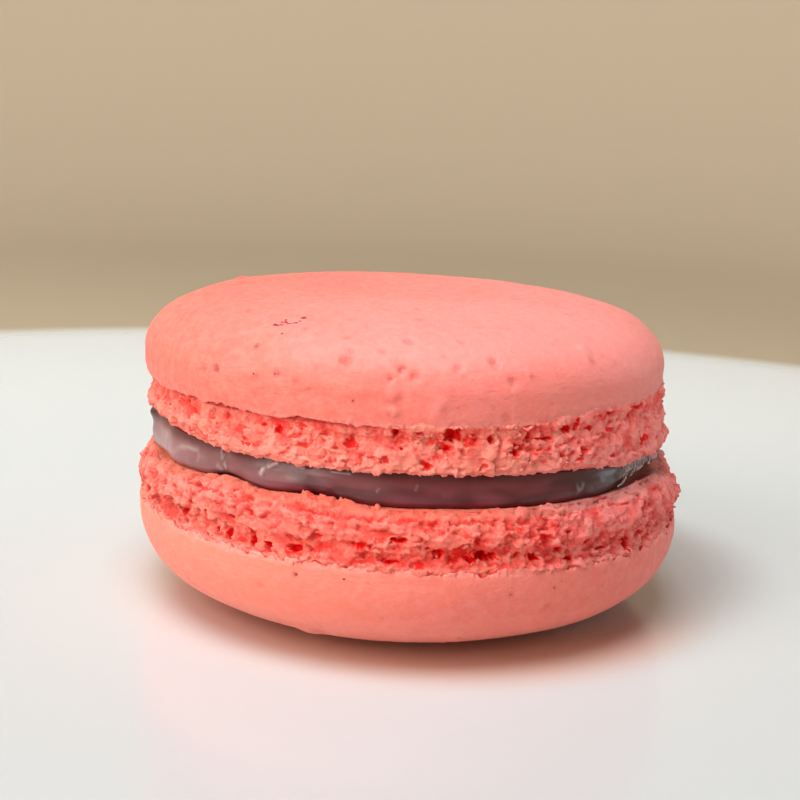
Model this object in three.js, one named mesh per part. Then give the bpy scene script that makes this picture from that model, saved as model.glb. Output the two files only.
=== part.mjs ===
// French macaron: two baked shells with open, crumbly feet, and a filling pressed between them.
// Millimetres, +Z up. The origin is the middle of the flat spot that the lower shell rests on.
// Azimuths are degrees counterclockwise from +X, so the side that faces -Y is at 270.

import * as THREE from 'three';

// Driving dimensions of the two shells. The pole is the middle of the domed, skinned side, the
// lip is the edge of that skin, and the seat is the flat inner face that the filling touches.
const upperShell = {
  centreX: -0.8,
  radius: 21.5,
  poleZ: 25.4,
  widestZ: 20.3,
  lipZ: 18.15,
  seatZ: 14.8,
  footRadius: 21.25,
  footLean: 0.45,
};
const lowerShell = {
  centreX: 0,
  radius: 22.6,
  poleZ: 0,
  widestZ: 6.9,
  lipZ: 8.2,
  seatZ: 12.2,
  footRadius: 22.15,
  footLean: 0,
};
const filling = {
  centreX: 0,
  radius: 20.85,
  flatCentreX: -0.4,
  flatRadius: 19.7,
  seatGap: 0.05,
  rimGap: 0.3,
  lowGap: 0.15,
  bulge: 0.35,
};

// The filling's side, downwards: share of its height, and inset as a share of its bulge.
const fillingSide = [
  [0, 1],
  [0.33, 0.35],
  [0.66, 0],
  [1, 0.35],
];

// The dome follows (r / radius)^domeSquareness + (height / domeHeight)^domeRoundness = 1.
const domeSquareness = 5;
const domeRoundness = 1.97;
const domeAngles = [4, 10, 19, 31, 45, 60, 75, 90];
const restRadius = 9.5;
const seatRadius = 20.2;
const seatRingShares = [1, 0.6, 0.3];
// The side of the skin: share of the way from the widest ring to the lip, and how far it curls in.
const skinSide = [
  [0.5, 0],
  [0.85, 0],
  [1, 0.12],
];

// Foot outlines: share of the way from lip to seat, and how far out from the foot radius.
const upperFootOutline = [
  [0.05, -0.35],
  [0.17, -0.3],
  [0.3, -0.1],
  [0.43, 0.05],
  [0.56, 0.15],
  [0.69, 0.2],
  [0.81, 0.25],
  [0.92, 0.2],
  [1, -0.05],
];
const lowerFootOutline = [
  [0.04, -0.15],
  [0.13, -0.08],
  [0.23, 0],
  [0.33, 0.25],
  [0.44, 0.4],
  [0.57, 0.38],
  [0.69, 0.22],
  [0.79, -0.05],
  [0.87, -0.15],
  [0.94, -0.45],
  [1, -1.05],
];

// Uneven baking: each swell lifts an edge by up to `height` round one azimuth.
const upperLipSwells = [{ at: 325, width: 28, height: 0.55 }];
const upperRimSwells = [
  { at: 200, width: 20, height: 0.9 },
  { at: 345, width: 34, height: -0.8 },
];
const lowerLipSwells = [{ at: 308, width: 26, height: -0.3 }];
const lowerRimSwells = [{ at: 208, width: 15, height: -0.3 }];
const fillingSwells = [
  { at: 212, width: 16, height: 0.55 },
  { at: 250, width: 8, height: -0.45 },
  { at: 342, width: 10, height: -0.25 },
];

// The largest torn holes: azimuth, share of the way from lip to seat, half width and depth.
const upperTears = [
  { at: 279.5, share: 0.14, width: 0.8, depth: 1.1 },
  { at: 268.4, share: 0.14, width: 0.5, depth: 0.9 },
  { at: 260.4, share: 0.4, width: 0.6, depth: 0.9 },
  { at: 287, share: 0.25, width: 0.5, depth: 0.7 },
  { at: 291.7, share: 0.5, width: 0.6, depth: 0.7 },
  { at: 296, share: 0.17, width: 0.7, depth: 0.6 },
  { at: 303, share: 0.14, width: 0.6, depth: 0.7 },
  { at: 321, share: 0.1, width: 0.8, depth: 0.6 },
  { at: 236.6, share: 0.45, width: 0.7, depth: 0.4 },
  { at: 221, share: 0.4, width: 0.9, depth: 0.3 },
];
const lowerTears = [
  { at: 218.7, share: 0.25, width: 0.6, depth: 0.8 },
  { at: 240.2, share: 0.2, width: 0.7, depth: 0.8 },
  { at: 249, share: 0.2, width: 0.8, depth: 0.8 },
  { at: 261.4, share: 0.38, width: 0.9, depth: 0.8 },
  { at: 268.2, share: 0.5, width: 0.9, depth: 0.8 },
  { at: 275.3, share: 0.28, width: 0.7, depth: 0.9 },
  { at: 282.5, share: 0.22, width: 1, depth: 1.2 },
  { at: 293.6, share: 0.2, width: 0.7, depth: 1 },
  { at: 305, share: 0.4, width: 0.6, depth: 0.8 },
  { at: 317.5, share: 0.15, width: 0.5, depth: 0.9 },
];
const upperPores = { count: 96, width: 0.6, depth: 0.5, seed: 11 };
const lowerPores = { count: 120, width: 0.65, depth: 0.55, seed: 23 };
// Pores keep clear of the lip and the rim, and differ from the named width and depth by a share.
const poreBand = { from: 0.08, to: 0.92 };
const poreWidthShares = { from: 0.6, to: 1.4 };
const poreDepthShares = { from: 0.4, to: 1.3 };
const poreHeightShare = 0.11;
const crumbRoughness = 0.1;
const edgeRaggedness = 0.07;
const edgeGrainTurns = 5;

// Low swellings of the skin, as waves round the shell and up its side.
const skinWaves = [
  { turns: 3, rise: 0.31, phase: 0.4, height: 0.05 },
  { turns: 7, rise: -0.53, phase: 2.1, height: 0.035 },
  { turns: 12, rise: 0.9, phase: 4.4, height: 0.025 },
];
const fillingWaves = [
  { turns: 4, rise: 0, phase: 1.2, height: 0.12 },
  { turns: 9, rise: 0, phase: 3.3, height: 0.08 },
  { turns: 15, rise: 0, phase: 0.7, height: 0.06 },
];

const fullSegments = 128;
const fillingSegments = 64;

function seededRandom(seed) {
  let state = seed;
  return () => {
    state = (state * 1664525 + 1013904223) % 4294967296;
    return state / 4294967296;
  };
}

function azimuthGap(a, b) {
  return ((((a - b) % 360) + 540) % 360) - 180;
}

function sumOfSwells(swells, azimuth) {
  const lift = (s) => s.height * Math.exp(-((azimuthGap(azimuth, s.at) / s.width) ** 2));
  return swells.reduce((total, s) => total + lift(s), 0);
}

function sumOfWaves(waves, azimuth, z) {
  const angle = THREE.MathUtils.degToRad(azimuth);
  const lift = (w) => w.height * Math.sin(w.turns * angle + w.rise * z + w.phase);
  return waves.reduce((total, w) => total + lift(w), 0);
}

// A ring of points, one for each azimuth; place(azimuth) gives its radius and z.
function ring(centreX, segments, place) {
  const points = [];
  for (let i = 0; i < segments; i += 1) {
    const azimuth = (360 * i) / segments;
    const { radius, z } = place(azimuth);
    const angle = THREE.MathUtils.degToRad(azimuth);
    points.push([centreX + radius * Math.cos(angle), radius * Math.sin(angle), z]);
  }
  return points;
}

// Joins two rings, the first one above; one may have twice the points of the other.
function stitch(indices, above, below) {
  const steps = Math.min(above.count, below.count);
  const up = above.count / steps;
  const down = below.count / steps;
  const topAt = (i) => above.start + (i % above.count);
  const lowAt = (i) => below.start + (i % below.count);
  for (let i = 0; i < steps; i += 1) {
    const a = up * i;
    const b = down * i;
    if (up === 2) {
      indices.push(topAt(a), lowAt(b), topAt(a + 1));
    }
    if (down === 2) {
      indices.push(topAt(a), lowAt(b), lowAt(b + 1));
    }
    indices.push(topAt(a + up - 1), lowAt(b + down - 1), lowAt(b + down));
    indices.push(topAt(a + up - 1), lowAt(b + down), topAt(a + up));
  }
}

// A closed solid from rings listed downwards, with a point at its top and at its bottom.
function solidOfRings(name, material, topPoint, rings, bottomPoint) {
  const points = [topPoint];
  const spans = [];
  for (const one of rings) {
    spans.push({ start: points.length, count: one.length });
    points.push(...one);
  }
  const last = points.push(bottomPoint) - 1;
  const indices = [];
  const first = spans[0];
  for (let i = 0; i < first.count; i += 1) {
    indices.push(0, first.start + i, first.start + ((i + 1) % first.count));
  }
  for (let i = 1; i < spans.length; i += 1) {
    stitch(indices, spans[i - 1], spans[i]);
  }
  const end = spans[spans.length - 1];
  for (let i = 0; i < end.count; i += 1) {
    indices.push(end.start + i, last, end.start + ((i + 1) % end.count));
  }
  const geometry = new THREE.BufferGeometry();
  geometry.setAttribute('position', new THREE.Float32BufferAttribute(points.flat(), 3));
  geometry.setIndex(indices);
  geometry.computeVertexNormals();
  const mesh = new THREE.Mesh(geometry, material);
  mesh.name = name;
  return mesh;
}

// Fewer segments towards the pole, where the rings are short.
function segmentsAt(share) {
  if (share < 0.45) {
    return fullSegments / 4;
  }
  return share < 0.7 ? fullSegments / 2 : fullSegments;
}

// The skinned dome, as rings from the pole to the lip.
function domeRings(shell, lipSwells, crumb) {
  const rings = [];
  const domeHeight = shell.poleZ - shell.widestZ;
  for (const degrees of domeAngles) {
    const angle = THREE.MathUtils.degToRad(degrees);
    const share = Math.sin(angle) ** (2 / domeSquareness);
    const rise = Math.max(0, Math.cos(angle)) ** (2 / domeRoundness);
    const flat = shell.poleZ === 0 && shell.radius * share < restRadius;
    const lumps = flat ? [] : skinWaves;
    rings.push(ring(shell.centreX, segmentsAt(share), (azimuth) => {
      const z = shell.widestZ + domeHeight * rise;
      const lump = sumOfWaves(lumps, azimuth, z) * share * share;
      return {
        radius: shell.radius * share + lump,
        z: flat ? 0 : z + Math.sign(domeHeight) * lump * rise,
      };
    }));
  }
  for (const [share, curl] of skinSide) {
    rings.push(ring(shell.centreX, fullSegments, (azimuth) => {
      const lip = shell.lipZ + sumOfSwells(lipSwells, azimuth) + crumb.ragged(azimuth);
      const z = shell.widestZ + (lip - shell.widestZ) * share;
      return { radius: shell.radius + sumOfWaves(skinWaves, azimuth, z) - curl, z };
    }));
  }
  return rings;
}

// The broken surface of a foot: how far a point is pushed in by tears, pores and loose crumb.
function makeCrumb(shell, tears, pores) {
  const random = seededRandom(pores.seed);
  const between = ({ from, to }) => from + (to - from) * random();
  const pits = [...tears];
  for (let i = 0; i < pores.count; i += 1) {
    pits.push({
      at: 360 * random(),
      share: between(poreBand),
      width: pores.width * between(poreWidthShares),
      depth: pores.depth * between(poreDepthShares),
    });
  }
  const edgeRow = Math.max(upperFootOutline.length, lowerFootOutline.length);
  const grains = fullSegments * (edgeRow + 1);
  const grain = Array.from({ length: grains }, () => between({ from: -1, to: 1 }));
  const grainAt = (azimuth, row) => {
    const column = Math.round((azimuth / 360) * fullSegments) % fullSegments;
    return grain[row * fullSegments + column];
  };
  const millimetresPerDegree = (Math.PI * shell.footRadius) / 180;
  return {
    ragged: (azimuth) => edgeRaggedness * grainAt(azimuth, edgeRow),
    dent: (azimuth, share, row) => {
      let depth = crumbRoughness * grainAt(azimuth, row);
      for (const pit of pits) {
        const across = (azimuthGap(azimuth, pit.at) * millimetresPerDegree) / pit.width;
        const along = (share - pit.share) / poreHeightShare;
        depth += pit.depth * Math.exp(-(across * across) - along * along);
      }
      return depth;
    },
  };
}

// The foot between the lip and the seat, as rings that start under the lip.
function footRings(shell, outline, lipSwells, rimSwells, crumb) {
  const turned = Math.sign(shell.seatZ - shell.lipZ);
  return outline.map(([share, out], row) => ring(shell.centreX, fullSegments, (azimuth) => {
    const lip = shell.lipZ + sumOfSwells(lipSwells, azimuth) + crumb.ragged(azimuth);
    const rim = shell.seatZ + sumOfSwells(rimSwells, azimuth);
    const lean = shell.footLean * Math.cos(THREE.MathUtils.degToRad(azimuth));
    const edge = share === 1 ? 0 : crumb.dent(azimuth, share, row);
    const rag = share === 1 ? turned * crumb.ragged(azimuth * edgeGrainTurns) : 0;
    return {
      radius: shell.footRadius + lean + out - edge,
      z: lip + (rim - lip) * share + rag,
    };
  }));
}

// The flat inner face that the filling is pressed against.
function seatRings(shell) {
  const flat = (radius) => () => ({ radius, z: shell.seatZ });
  return seatRingShares.map((share, i) => (
    ring(shell.centreX, fullSegments / 2 ** i, flat(seatRadius * share))
  ));
}

function makeShell(name, material, shell, outline, lipSwells, rimSwells, tears, pores) {
  const crumb = makeCrumb(shell, tears, pores);
  const rings = [
    ...domeRings(shell, lipSwells, crumb),
    ...footRings(shell, outline, lipSwells, rimSwells, crumb),
    ...seatRings(shell),
  ];
  const pole = [shell.centreX, 0, shell.poleZ];
  const seat = [shell.centreX, 0, shell.seatZ];
  if (shell.poleZ > shell.seatZ) {
    return solidOfRings(name, material, pole, rings, seat);
  }
  return solidOfRings(name, material, seat, rings.reverse(), pole);
}

// A thick disc, flat where the shells press on it and bulging with uneven waves at its side.
function makeFilling(material) {
  const topZ = upperShell.seatZ - filling.seatGap;
  const bottomZ = lowerShell.seatZ + filling.seatGap;
  const sideAt = (azimuth) => {
    const upperRim = upperShell.seatZ + sumOfSwells(upperRimSwells, azimuth);
    const lowerRim = lowerShell.seatZ + sumOfSwells(lowerRimSwells, azimuth);
    const uneven = sumOfSwells(fillingSwells, azimuth) + sumOfWaves(fillingWaves, azimuth, 0);
    return {
      high: Math.min(topZ - filling.lowGap, upperRim - filling.rimGap),
      low: lowerRim + filling.lowGap,
      radius: filling.radius + uneven,
    };
  };
  const side = (share, inset) => ring(filling.centreX, fillingSegments, (azimuth) => {
    const { high, low, radius } = sideAt(azimuth);
    return { radius: radius - inset, z: high + (low - high) * share };
  });
  const flat = (radius, z, segments) => (
    ring(filling.flatCentreX, segments, () => ({ radius, z }))
  );
  const rings = [
    flat(filling.flatRadius / 2, topZ, fillingSegments / 2),
    flat(filling.flatRadius, topZ, fillingSegments),
    ...fillingSide.map(([share, inset]) => side(share, filling.bulge * inset)),
    flat(filling.flatRadius, bottomZ, fillingSegments),
    flat(filling.flatRadius / 2, bottomZ, fillingSegments / 2),
  ];
  const topPoint = [filling.flatCentreX, 0, topZ];
  const bottomPoint = [filling.flatCentreX, 0, bottomZ];
  return solidOfRings('filling', material, topPoint, rings, bottomPoint);
}

function shellMaterial() {
  return new THREE.MeshStandardMaterial({ color: 0xf0907c, roughness: 0.75, metalness: 0 });
}

function fillingMaterial() {
  return new THREE.MeshStandardMaterial({ color: 0x7d4a50, roughness: 0.3, metalness: 0 });
}

const macaron = new THREE.Group();
macaron.add(
  makeShell(
    'top_shell', shellMaterial(), upperShell,
    upperFootOutline, upperLipSwells, upperRimSwells, upperTears, upperPores,
  ),
  makeFilling(fillingMaterial()),
  makeShell(
    'bottom_shell', shellMaterial(), lowerShell,
    lowerFootOutline, lowerLipSwells, lowerRimSwells, lowerTears, lowerPores,
  ),
);

export default macaron;
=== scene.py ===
import math
import bpy
import numpy as np
from mathutils import Matrix, Vector


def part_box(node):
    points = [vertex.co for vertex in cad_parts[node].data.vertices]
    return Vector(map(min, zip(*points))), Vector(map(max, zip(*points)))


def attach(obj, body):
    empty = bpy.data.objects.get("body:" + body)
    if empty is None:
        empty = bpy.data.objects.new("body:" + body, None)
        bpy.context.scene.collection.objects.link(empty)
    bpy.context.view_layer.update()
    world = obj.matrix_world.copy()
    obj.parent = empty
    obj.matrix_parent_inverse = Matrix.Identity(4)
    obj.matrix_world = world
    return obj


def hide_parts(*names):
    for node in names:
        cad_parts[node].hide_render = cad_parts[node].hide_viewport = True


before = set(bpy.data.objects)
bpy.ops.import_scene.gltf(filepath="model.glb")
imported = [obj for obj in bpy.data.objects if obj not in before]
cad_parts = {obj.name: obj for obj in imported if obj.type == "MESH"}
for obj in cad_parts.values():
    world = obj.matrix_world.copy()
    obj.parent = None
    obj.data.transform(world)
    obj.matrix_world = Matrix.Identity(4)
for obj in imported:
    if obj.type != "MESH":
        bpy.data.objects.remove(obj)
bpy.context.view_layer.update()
print("frame loaded:", ", ".join(sorted(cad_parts)))

# sizes are in mm, azimuths in degrees from +X towards +Y, so the side that shows is at 270
mm = 0.001


def boxMm(node):
    low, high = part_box(node)
    return low / mm, high / mm


class Flow:
    # one output of a node, which adds and multiplies like a number or a vector
    def __init__(self, tree, socket):
        self.tree, self.socket = tree, socket

    def out(self, name):
        return Flow(self.tree, self.socket.node.outputs[name])

    def __add__(self, other):
        return reckon("ADD", self, other)

    def __sub__(self, other):
        return reckon("SUBTRACT", self, other)

    def __rsub__(self, other):
        return reckon("SUBTRACT", other, self)

    def __mul__(self, other):
        return reckon("MULTIPLY", self, other)

    def __truediv__(self, other):
        return reckon("DIVIDE", self, other)

    def __rtruediv__(self, other):
        return reckon("DIVIDE", other, self)

    def __lt__(self, other):
        return reckon("LESS_THAN", self, other)

    def __gt__(self, other):
        return reckon("GREATER_THAN", self, other)

    __radd__, __rmul__ = __add__, __mul__


def feed(socket, value):
    if isinstance(value, Flow):
        value.tree.links.new(value.socket, socket)
    else:
        socket.default_value = value


def add(tree, kind, inputs=None, output=0, **settings):
    node = tree.nodes.new(kind)
    for name, value in settings.items():
        setattr(node, name, value)
    for name, value in (inputs or {}).items():
        feed(node.inputs[name], value)
    return Flow(tree, node.outputs[output]) if node.outputs else None


def isVector(value):
    return isinstance(value, tuple) or isinstance(value, Flow) and value.socket.type in ("VECTOR", "RGBA")


def reckon(operation, first, second):
    tree = (first if isinstance(first, Flow) else second).tree
    if isVector(second) and not isVector(first):
        first, second = second, first
    if isVector(second):
        return add(tree, "ShaderNodeVectorMath", {0: first, 1: second}, operation=operation)
    if isVector(first):
        return add(tree, "ShaderNodeVectorMath", {0: first, "Scale": second}, operation="SCALE")
    return add(tree, "ShaderNodeMath", {0: first, 1: second}, operation=operation)


def highest(first, *rest):
    for value in rest:
        first = reckon("MAXIMUM", first, value)
    return first


def clamped(value):
    value.socket.node.use_clamp = True
    return value


def lengthOf(vector):
    return add(vector.tree, "ShaderNodeVectorMath", {0: vector}, "Value", operation="LENGTH")


def split(vector):
    parts = add(vector.tree, "ShaderNodeSeparateXYZ", {"Vector": vector})
    return [parts.out(axis) for axis in "XYZ"]


def ramp(value, low, high, toLow=0.0, toHigh=1.0):
    limits = {"Value": value, "From Min": low, "From Max": high, "To Min": toLow, "To Max": toHigh}
    return add(value.tree, "ShaderNodeMapRange", limits, interpolation_type="SMOOTHSTEP")


def noise(at, size, detail=2.0, roughness=0.5):
    sockets = {"Vector": at, "Scale": 1.0 / size, "Detail": detail, "Roughness": roughness}
    return add(at.tree, "ShaderNodeTexNoise", sockets)


def centred(at, size, detail=2.0, roughness=0.5):
    # a noise of about -1 to 1
    return noise(at, size, detail, roughness) * 2.6 - 1.3


def warped(at, size, reach):
    return at + (noise(at, size, 1.0).out("Color") - (0.5, 0.5, 0.5)) * reach


def cells(at, size, feature="F1"):
    return add(at.tree, "ShaderNodeTexVoronoi", {"Vector": at, "Scale": 1.0 / size}, feature=feature)


def facets(at, size):
    # broken, tilted faces like torn crumb, from about -1 to 1
    cell = cells(at, size)
    sides = {0: cell.out("Color") - (0.5, 0.5, 0.5), 1: at - cell.out("Position")}
    return add(at.tree, "ShaderNodeVectorMath", sides, "Value", operation="DOT_PRODUCT") * (4 / size)


def bowls(at, size, share):
    # angular hollows with thin walls in a share of the cells, up to 1 deep; and a random number
    wanted, depth, kind = split(cells(at, size).out("Color"))
    inside = ramp(cells(at, size, "DISTANCE_TO_EDGE"), 0.02, 0.28)
    return inside * (depth * 0.8 + 0.3) * (wanted < share), kind


def spots(at, spacing, size, share, edge=0.0):
    # round spots in a share of the cells, each with its own size: 1 in the middle, 0 outside
    cell = cells(at, spacing)
    wanted, width, kind = split(cell.out("Color"))
    reach = (width * 0.9 + 0.45) * size / spacing
    return ramp(cell, reach, reach * edge) * (wanted < share), kind


def colours(share, first, second):
    return add(share.tree, "ShaderNodeMix", {0: share, 6: first, 7: second}, 2, data_type="RGBA")


def layered(colour, finish, layers):
    # lays named colours of a finish over a colour, each by its share
    for name, share in layers:
        colour = colours(share, colour, finish[name])
    return colour


def attribute(tree, name):
    # one number stored on the mesh, in a geometry or a material tree
    if tree.type == "GEOMETRY":
        return add(tree, "GeometryNodeInputNamedAttribute", {"Name": name})
    return add(tree, "ShaderNodeAttribute", output="Fac", attribute_name=name)


def newGeometryTree(name, sizes):
    # a tree from Geometry to Geometry with one named input for each size, a Seed and a Finish
    tree = bpy.data.node_groups.new(name, "GeometryNodeTree")
    labels = {"Geometry": "Geometry", **dict.fromkeys(sizes, "Float"), "Seed": "Int", "Finish": "Material"}
    for label, kind in labels.items():
        tree.interface.new_socket(label, in_out="INPUT", socket_type="NodeSocket" + kind)
    tree.interface.new_socket("Geometry", in_out="OUTPUT", socket_type="NodeSocketGeometry")
    inputs = add(tree, "NodeGroupInput")
    entry = {label: inputs.out(label) for label in labels}
    place = add(tree, "GeometryNodeInputPosition") * (1 / mm) + entry["Seed"] * (17.3, 9.1, 5.7)
    return tree, entry, place


def closeGeometryTree(entry, geometry):
    realized = add(geometry.tree, "GeometryNodeRealizeInstances", {"Geometry": geometry})
    dressed = {"Geometry": realized, "Material": entry["Finish"]}
    dressed = add(geometry.tree, "GeometryNodeSetMaterial", dressed)
    add(geometry.tree, "NodeGroupOutput", {"Geometry": dressed})


def pushOut(geometry, amount, lift=0.0):
    # moves every point along its normal, and up by lift, both in mm
    up = add(geometry.tree, "ShaderNodeCombineXYZ", {"Z": lift * mm})
    offset = add(geometry.tree, "GeometryNodeInputNormal") * (amount * mm) + up
    return add(geometry.tree, "GeometryNodeSetPosition", {"Geometry": geometry, "Offset": offset})


def keepNumber(geometry, name, value):
    stored = {"Geometry": geometry, "Name": name, "Value": value}
    return add(geometry.tree, "GeometryNodeStoreNamedAttribute", stored, data_type="FLOAT")


def applyTree(piece, tree, sizes, seed, finish):
    modifier = piece.modifiers.new(tree.name, "NODES")
    modifier.node_group = tree
    values = {**sizes, "Seed": seed, "Finish": finish}
    for item in tree.interface.items_tree:
        if item.in_out == "INPUT" and item.name in values:
            modifier[item.identifier] = values[item.name]
    graph = bpy.context.evaluated_depsgraph_get()
    plain = bpy.data.meshes.new_from_object(
        piece.evaluated_get(graph), preserve_all_data_layers=True, depsgraph=graph)
    piece.modifiers.remove(modifier)
    piece.data = plain
    if finish.name not in plain.materials:
        plain.materials.append(finish)
    print(piece.name + ":", len(plain.polygons), "faces")


def newMaterial(name, shaderValues):
    material = bpy.data.materials.new(name)
    material.use_nodes = True
    tree = material.node_tree
    tree.nodes.clear()
    surface = add(tree, "ShaderNodeBsdfPrincipled", shaderValues)
    add(tree, "ShaderNodeOutputMaterial", {"Surface": surface})
    place = add(tree, "ShaderNodeTexCoord", output="Object") * (1 / mm)
    return material, surface.socket.node.inputs, place


def bumpOf(shader, height, depth):
    bump = {"Height": height, "Distance": depth * mm, "Strength": 1.0}
    feed(shader["Normal"], add(height.tree, "ShaderNodeBump", bump))


def newPiece(name, data):
    piece = bpy.data.objects.new(name, data)
    bpy.context.scene.collection.objects.link(piece)
    return piece


def azimuthGap(azimuth, at):
    return (azimuth - at + 540) % 360 - 180


def swellsAt(swells, azimuth):
    return sum(height * np.exp(-(azimuthGap(azimuth, at) / width) ** 2) for at, width, height in swells)


def bumpsAt(bumps, azimuth, z, radius):
    # one layer for each azimuth, z, width, height and amount on a side of that radius
    layers = [np.zeros(len(azimuth))]
    for at, middleZ, width, height, amount in bumps:
        across = azimuthGap(azimuth, at) * math.pi * radius / 180 / width
        layers.append(amount * np.exp(-across ** 2 - ((z - middleZ) / height) ** 2))
    return layers


def wavesAt(waves, azimuth, z):
    angle = np.radians(azimuth)
    return sum(height * np.sin(turns * angle + rise * z + phase) for turns, rise, phase, height in waves)


def raggedLine(azimuth, knots, seed):
    # a smooth random line round the biscuit, from -1 to 1
    values = np.random.default_rng(seed).uniform(-1, 1, knots)
    place = azimuth / 360 * knots
    left = np.floor(place).astype(int)
    share = smoothStep(place - left, 0, 1)
    return values[left % knots] * (1 - share) + values[(left + 1) % knots] * share


def smoothStep(value, low, high):
    share = np.clip((value - low) / (high - low), 0, 1)
    return share * share * (3 - 2 * share)


def columnsOf(count):
    return np.arange(count) * 360 / count


def ringOf(centreX, azimuth, radius, z, **numbers):
    angle = np.radians(azimuth)
    points = np.column_stack([centreX + radius * np.cos(angle), radius * np.sin(angle), z + 0 * angle])
    return points, {name: value + 0 * angle for name, value in numbers.items()}


def ringFaces(above, below):
    # joins two rings of (first point, count); one may have twice the points of the other
    if above[1] == below[1]:
        i = np.arange(above[1])
        j = (i + 1) % above[1]
        return np.column_stack([above[0] + i, below[0] + i, below[0] + j, above[0] + j]).tolist()
    (coarse, count), (fine, fineCount) = sorted((above, below), key=lambda ring: ring[1])
    i = np.arange(count)
    near, far = coarse + i, coarse + (i + 1) % count
    even, odd, after = fine + 2 * i, fine + 2 * i + 1, fine + (2 * i + 2) % fineCount
    corners = [(even, near, odd), (odd, near, far), (odd, far, after)]
    turn = 1 if above[1] > below[1] else -1
    return [face for three in corners for face in np.column_stack(three[::turn]).tolist()]


def ringMesh(name, topPoint, rings, bottomPoint):
    # rings run downwards, in mm, each with its numbers for every point
    points = [np.array([topPoint], float)]
    spans = []
    start = 1
    for ring, _ in rings:
        spans.append((start, len(ring)))
        points.append(ring)
        start += len(ring)
    points.append(np.array([bottomPoint], float))
    first, last = spans[0], spans[-1]
    faces = [[0, first[0] + i, first[0] + (i + 1) % first[1]] for i in range(first[1])]
    for above, below in zip(spans, spans[1:]):
        faces += ringFaces(above, below)
    faces += [[last[0] + i, start, last[0] + (i + 1) % last[1]] for i in range(last[1])]
    mesh = bpy.data.meshes.new(name)
    mesh.from_pydata((np.vstack(points) * mm).tolist(), [], faces)
    for label in rings[0][1]:
        values = np.concatenate([[0], *(numbers[label] for _, numbers in rings), [0]])
        mesh.attributes.new(label, "FLOAT", "POINT").data.foreach_set("value", values.astype(np.float32))
    mesh.shade_smooth()
    mesh.update()
    return newPiece(name, mesh)


# the two shells; swells are azimuth, width and height
domeSquareness = 5
domeRoundness = 1.97
# turns, rise, phase, height
skinWaves = [(3, 0.31, 0.4, 0.05), (7, -0.53, 2.1, 0.035), (12, 0.9, 4.4, 0.025)]

topHigh = boxMm("top_shell")[1]
lowLow = boxMm("bottom_shell")[0]

topShell = dict(
    centreX=-0.8, radius=21.5, poleZ=topHigh.z, widestZ=20.3, lipZ=18.15, seatZ=14.8,
    footRadius=21.25, footLean=0.45,
    lipSwells=[(325, 28, 0.55)],
    lipNotches=[(306.3, 1.0, 0.05), (315.8, 1.6, 0.2), (324.2, 0.8, 0.2), (287.5, 1.2, 0.15),
                (279.5, 1.6, 0.15), (295, 1.2, 0.05), (232, 1.0, 0.15), (250.5, 1.0, 0.18), (199, 1.2, 0.2)],
    rimSwells=[(200, 20, 0.9), (345, 34, -0.8)],
    lipRagged=[(110, 0.1), (330, 0.06), (700, 0.015)],      # knots round the lip, height
    lipThickness=0.3, lipCurl=0.12, lipCurls=[(212, 26, 0.24)], lipBlend=[(272, 26, 0.3)],
    # azimuth, z, width, height, amount
    footLumps=[(347, 15.1, 2.0, 0.5, 0.25), (348, 17.7, 1.5, 0.3, -0.2), (346, 18.5, 0.8, 0.3, 0.1)],
    # share of the way from lip to seat, offset
    footOutline=[(-0.2, -0.8), (-0.11, -0.22), (0, -0.08), (0.05, -0.1), (0.17, -0.25), (0.3, -0.1),
                 (0.43, 0.05), (0.56, 0.15), (0.69, 0.2), (0.81, 0.25), (0.92, 0.2), (1, -0.05)],
    seed=5,
)
bottomShell = dict(
    centreX=0.0, radius=22.6, poleZ=lowLow.z, widestZ=6.9, lipZ=8.2, seatZ=12.2,
    footRadius=22.15, footLean=0.0,
    lipSwells=[(308, 26, -0.3)],
    lipNotches=[(282.8, 2.2, -0.2), (243.5, 0.8, -0.35), (239.2, 0.5, -0.3), (235.8, 0.5, -0.3),
                (232.3, 0.7, -0.3), (228.6, 0.6, -0.2), (247.2, 0.6, -0.2), (293.8, 1.2, -0.15),
                (301.3, 1.2, -0.2), (317, 1.0, -0.2)],
    rimSwells=[(200, 9, -0.5), (231.5, 8, 0.75), (251, 9, 0.55), (300, 40, 0.15), (328, 12, 0.35),
               (351, 9, -0.6)],
    lipRagged=[(80, 0.18), (260, 0.17), (620, 0.05)],
    lipThickness=0.25, lipCurl=0.12, lipCurls=[], lipBlend=[(270, 200, 0.06)],
    footLumps=[(348, 11.6, 3.0, 0.5, -0.35), (348, 9.1, 1.5, 0.22, -0.45), (348, 10.0, 2.0, 0.4, 0.12),
               (192, 9.0, 1.5, 0.4, -0.4), (192, 10.3, 1.5, 0.4, 0.12), (192, 11.7, 1.5, 0.5, -0.35),
               (230, 11.6, 2.0, 0.4, 0.15)],
    footOutline=[(-0.22, -0.85), (-0.13, 0.0), (-0.04, 0.24), (0.06, 0.26), (0.17, 0.08), (0.25, 0.06),
                 (0.33, 0.22), (0.44, 0.36), (0.57, 0.36), (0.69, 0.25), (0.79, 0), (0.87, -0.12),
                 (0.94, -0.42), (1, -1.05)],
    seed=8,
)


def turnOf(plan):
    # +1 where the dome is above the seat
    return 1 if plan["poleZ"] > plan["seatZ"] else -1


def lipLine(plan, azimuth):
    ragged = swellsAt(plan["lipNotches"], azimuth)
    for knots, height in plan["lipRagged"]:
        ragged = ragged + height * raggedLine(azimuth, knots, plan["seed"] + knots)
    return plan["lipZ"] + swellsAt(plan["lipSwells"], azimuth), ragged


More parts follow.
